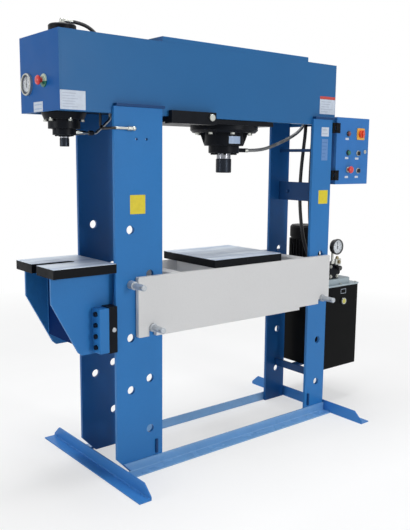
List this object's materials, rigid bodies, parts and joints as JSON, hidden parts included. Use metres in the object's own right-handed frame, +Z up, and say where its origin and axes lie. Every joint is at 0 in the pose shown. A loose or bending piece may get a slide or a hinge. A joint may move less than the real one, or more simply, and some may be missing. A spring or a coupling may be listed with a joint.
{
  "type": "hydraulic workshop press",
  "caption": "H-frame hydraulic press with a travelling main ram, side ram over a slotted table, pinned lift bed, pump unit and switch cabinet",
  "frame": {"origin": "on the floor, at the middle of the footprint", "axes": "+X along the beam to the pump unit's end, +Y to the back, +Z up"},
  "size_m": [2.081, 0.903, 2.069],
  "materials": {
    "frame_blue": "satin enamel",
    "bed_grey": "satin enamel",
    "black_paint": "satin",
    "grey_paint": "satin",
    "cylinder_black": "satin",
    "bright_steel": "ground",
    "chrome_rod": "polished",
    "zinc": "plated",
    "rubber_hose": "matt",
    "seal_rubber": "matt",
    "black_plastic": "matt",
    "red_plastic": "gloss",
    "green_plastic": "gloss"
  },
  "bodies": {
    "frame": {"beam_box": "frame_blue", "beam_top_hood": "frame_blue", "left_upright_bars": "frame_blue", "right_upright_bars": "frame_blue", "upright_fittings": "frame_blue", "base_angles": "frame_blue", "beam_inner_blocks": "black_paint", "side_cylinder_barrel": "cylinder_black", "side_cylinder_bolts": "zinc", "side_cylinder_gland": "cylinder_black", "side_cylinder_cap": "cylinder_black", "cabinet_case": "frame_blue", "beam_gauge": "black_plastic", "tank_shell": "black_paint", "tank_lid": "grey_paint", "pump_motor": "black_paint", "valve_block": "black_paint", "tank_gauge": "black_plastic", "cylinder_pipes": "zinc", "side_cylinder_hose": "rubber_hose", "main_cylinder_hose": "rubber_hose", "pressure_hose": "rubber_hose", "return_hose": "rubber_hose"},
    "carriage": {"main_carriage": "black_paint", "main_carriage_bolts": "zinc", "main_cylinder_barrel": "cylinder_black", "main_cylinder_gland": "cylinder_black", "main_cylinder_cap": "cylinder_black"},
    "wheels_left": {"carriage_wheels_left": "bright_steel"},
    "wheels_right": {"carriage_wheels_right": "bright_steel"},
    "main_press_ram": {"main_ram": "chrome_rod", "main_piston_seal": "seal_rubber", "main_ram_head": "bright_steel"},
    "side_press_ram": {"side_ram": "chrome_rod", "side_ram_head": "bright_steel"},
    "bed": {"bed_front_plate": "bed_grey", "bed_rear_plate": "bed_grey", "bed_cross_beams": "bed_grey", "bed_table_plates": "bright_steel"},
    "side_table": {"side_table_plate": "bright_steel", "side_table_bracket": "frame_blue", "guide_blocks": "black_paint", "guide_block_bolts": "zinc"},
    "table_guide_wheels": {"guide_wheels": "bright_steel"},
    "pin_left": {"bed_pin_left": "bright_steel"},
    "pin_right": {"bed_pin_right": "bright_steel"},
    "pin_side": {"side_table_pin": "bright_steel"},
    "door": {"cabinet_door": "frame_blue", "door_control_rings": "zinc"},
    "main_switch": {"main_switch_knob": "red_plastic"},
    "selector_top": {"mode_selector": "black_plastic"},
    "selector_low": {"station_selector": "black_plastic"},
    "start": {"start_button": "green_plastic"},
    "door_stop": {"cabinet_stop_button": "red_plastic"},
    "lock": {"door_lock": "zinc"},
    "beam_needle": {"beam_gauge_needle": "black_plastic"},
    "beam_stop": {"beam_stop_button": "red_plastic"},
    "tank_needle": {"tank_gauge_needle": "black_plastic"},
    "relief_knob": {"relief_valve_knob": "black_plastic"}
  },
  "joints": [
    {"name": "carriage_slide", "type": "slide", "parent": "frame", "child": "carriage", "axis": [1, 0, 0], "range_m": [-0.035, 0.26], "deforming": ["main_cylinder_hose"]},
    {"name": "left_wheels_roll", "type": "hinge", "parent": "carriage", "child": "wheels_left", "pos_m": [-0.0855, 0.0365, 1.706], "axis": [0, 1, 0], "range_deg": [-80, 520]},
    {"name": "right_wheels_roll", "type": "hinge", "parent": "carriage", "child": "wheels_right", "pos_m": [0.2145, 0.0365, 1.706], "axis": [0, 1, 0], "range_deg": [-80, 520]},
    {"name": "main_ram_stroke", "type": "slide", "parent": "carriage", "child": "main_press_ram", "axis": [0, 0, -1], "range_m": [0, 0.16]},
    {"name": "side_ram_stroke", "type": "slide", "parent": "frame", "child": "side_press_ram", "axis": [0, 0, -1], "range_m": [0, 0.15]},
    {"name": "bed_lift", "type": "slide", "parent": "frame", "child": "bed", "axis": [0, 0, 1], "range_m": [0, 0.25]},
    {"name": "side_table_lift", "type": "slide", "parent": "frame", "child": "side_table", "axis": [0, 0, 1], "range_m": [0, 0.25]},
    {"name": "guide_wheels_roll", "type": "hinge", "parent": "side_table", "child": "table_guide_wheels", "pos_m": [-0.7545, 0.007, 0.711], "axis": [0, 1, 0], "range_deg": [-650, 10]},
    {"name": "left_pin_pull", "type": "slide", "parent": "frame", "child": "pin_left", "axis": [0, -1, 0], "range_m": [0, 0.42]},
    {"name": "right_pin_pull", "type": "slide", "parent": "frame", "child": "pin_right", "axis": [0, -1, 0], "range_m": [0, 0.42]},
    {"name": "side_pin_pull", "type": "slide", "parent": "frame", "child": "pin_side", "axis": [0, -1, 0], "range_m": [0, 0.42]},
    {"name": "door_hinge", "type": "hinge", "parent": "frame", "child": "door", "pos_m": [0.7195, -0.1695, 1.523], "axis": [0, 0, -1], "range_deg": [0, 100]},
    {"name": "main_switch_turn", "type": "hinge", "parent": "door", "child": "main_switch", "pos_m": [0.9335, -0.1685, 1.622], "axis": [0, 1, 0], "range_deg": [0, 90]},
    {"name": "mode_selector_turn", "type": "hinge", "parent": "door", "child": "selector_top", "pos_m": [0.9185, -0.1685, 1.512], "axis": [0, 1, 0], "range_deg": [-45, 45]},
    {"name": "station_selector_turn", "type": "hinge", "parent": "door", "child": "selector_low", "pos_m": [0.9225, -0.1685, 1.412], "axis": [0, 1, 0], "range_deg": [-45, 45]},
    {"name": "start_button_press", "type": "slide", "parent": "door", "child": "start", "axis": [0, 1, 0], "range_m": [0, 0.003], "stiffness_N_per_m": 900, "springref_m": -0.002},
    {"name": "door_stop_press", "type": "slide", "parent": "door", "child": "door_stop", "axis": [0, 1, 0], "range_m": [0, 0.006], "stiffness_N_per_m": 900, "springref_m": -0.002},
    {"name": "door_lock_turn", "type": "hinge", "parent": "door", "child": "lock", "pos_m": [0.9795, -0.1685, 1.521], "axis": [0, 1, 0], "range_deg": [0, 90]},
    {"name": "beam_needle_turn", "type": "hinge", "parent": "frame", "child": "beam_needle", "pos_m": [-0.9875, 0.1455, 1.786], "axis": [1, 0, 0], "range_deg": [-135, 135]},
    {"name": "beam_stop_press", "type": "slide", "parent": "frame", "child": "beam_stop", "axis": [1, 0, 0], "range_m": [0, 0.006], "stiffness_N_per_m": 900, "springref_m": -0.002},
    {"name": "tank_needle_turn", "type": "hinge", "parent": "frame", "child": "tank_needle", "pos_m": [0.8365, -0.1125, 0.963], "axis": [0, 1, 0], "range_deg": [-135, 135]},
    {"name": "relief_knob_turn", "type": "hinge", "parent": "frame", "child": "relief_knob", "pos_m": [0.8605, -0.1085, 0.834], "axis": [0, 1, 0], "range_deg": [-160, 160]}
  ],
  "couplings": [
    {"joint": "left_wheels_roll", "follows": "carriage_slide", "rad_per_m": 33.67},
    {"joint": "right_wheels_roll", "follows": "carriage_slide", "rad_per_m": 33.67},
    {"joint": "guide_wheels_roll", "follows": "side_table_lift", "rad_per_m": -44.053}
  ]
}
